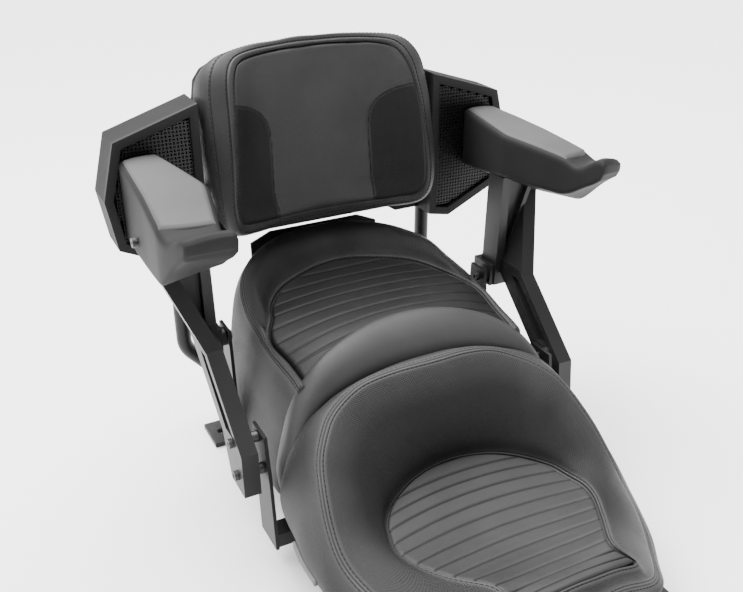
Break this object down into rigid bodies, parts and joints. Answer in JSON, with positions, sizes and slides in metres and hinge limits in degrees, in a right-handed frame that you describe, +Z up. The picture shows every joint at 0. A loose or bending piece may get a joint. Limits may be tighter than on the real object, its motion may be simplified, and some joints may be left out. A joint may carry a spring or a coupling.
{
  "type": "motorcycle seat",
  "caption": "Two-up touring seat on a tubular subframe, with a pleated rider dish, passenger perch, padded backrest, armrests on cast struts and speaker pods.",
  "frame": {"origin": "centre of the four mounting holes, in the plane of the feet's undersides", "axes": "+X across the seat, +Y towards the backrest, +Z up"},
  "size_m": [0.692, 0.7875, 0.662],
  "materials": {
    "frame_paint": "satin black powder coat",
    "strut_paint": "satin dark grey paint on cast alloy",
    "zinc_steel": "zinc plated steel",
    "lock_case": "black cast zinc",
    "arm_plastic": "fine grained moulded plastic, dark grey",
    "arm_pad": "soft-touch skin over foam",
    "black_plastic": "black moulded plastic",
    "trim_plastic": "satin grey moulded plastic",
    "mesh_grille": "black perforated grille",
    "speaker_black": "black basket and paper cone",
    "bumper_rubber": "black rubber",
    "tag_rubber": "soft black tag",
    "leather_rider": "black seat leather, perforated and pleated",
    "leather_bolster": "black smooth seat leather",
    "leather_passenger": "black seat leather, perforated and pleated",
    "leather_back": "black seat leather with a brushed centre"
  },
  "bodies": {
    "root": {"arm_bracket_left": "frame_paint", "arm_bracket_right": "frame_paint", "armrest_cover_left": "black_plastic", "armrest_cover_right": "black_plastic", "armrest_pad_left": "arm_pad", "armrest_pad_right": "arm_pad", "armrest_shell_left": "arm_plastic", "armrest_shell_right": "arm_plastic", "backrest_cushion": "leather_back", "backrest_hoop": "frame_paint", "backrest_shell": "black_plastic", "clamp_screws": "zinc_steel", "cross_tube_front": "frame_paint", "cross_tube_mid": "frame_paint", "cross_tube_rear": "frame_paint", "hinge_bracket": "frame_paint", "hinge_pin": "zinc_steel", "hoop_clamps": "frame_paint", "hoop_crossbar": "frame_paint", "lock_housing": "lock_case", "lower_valance": "black_plastic", "mount_foot_front_left": "frame_paint", "mount_foot_front_right": "frame_paint", "mount_foot_rear_left": "frame_paint", "mount_foot_rear_right": "frame_paint", "pod_grille_left": "mesh_grille", "pod_grille_right": "mesh_grille", "pod_housing_left": "black_plastic", "pod_housing_right": "black_plastic", "pod_trim_left": "trim_plastic", "pod_trim_right": "trim_plastic", "rail_left": "frame_paint", "rail_right": "frame_paint", "speaker_left": "speaker_black", "speaker_right": "speaker_black", "strut_bolts": "zinc_steel", "strut_bracket_left": "frame_paint", "strut_bracket_right": "frame_paint", "strut_left": "strut_paint", "strut_right": "strut_paint", "strut_spacers": "zinc_steel"},
    "seat": {"seat_pan": "black_plastic", "rider_cushion": "leather_rider", "centre_bolster": "leather_bolster", "passenger_cushion": "leather_passenger", "pan_bumpers": "bumper_rubber", "skirt_tag": "tag_rubber", "hinge_leaf": "zinc_steel", "leaf_screws": "zinc_steel", "striker_loop": "zinc_steel"},
    "lock_key": {"lock_barrel": "zinc_steel"},
    "lock_bolt": {"lock_tongue": "zinc_steel"}
  },
  "joints": [
    {"name": "seat_hinge", "type": "hinge", "parent": "root", "child": "seat", "pos_m": [0, 0.296, 0.128], "axis": [-1, 0, 0], "range_deg": [0, 35]},
    {"name": "key_turn", "type": "hinge", "parent": "root", "child": "lock_key", "pos_m": [-0.04, -0.33, 0.05], "axis": [1, 0, 0], "range_deg": [0, 90]},
    {"name": "bolt_slide", "type": "slide", "parent": "root", "child": "lock_bolt", "axis": [0, -1, 0], "range_m": [0, 0.0128]}
  ],
  "couplings": [
    {"joint": "bolt_slide", "follows": "key_turn", "m_per_rad": 0.008103}
  ]
}
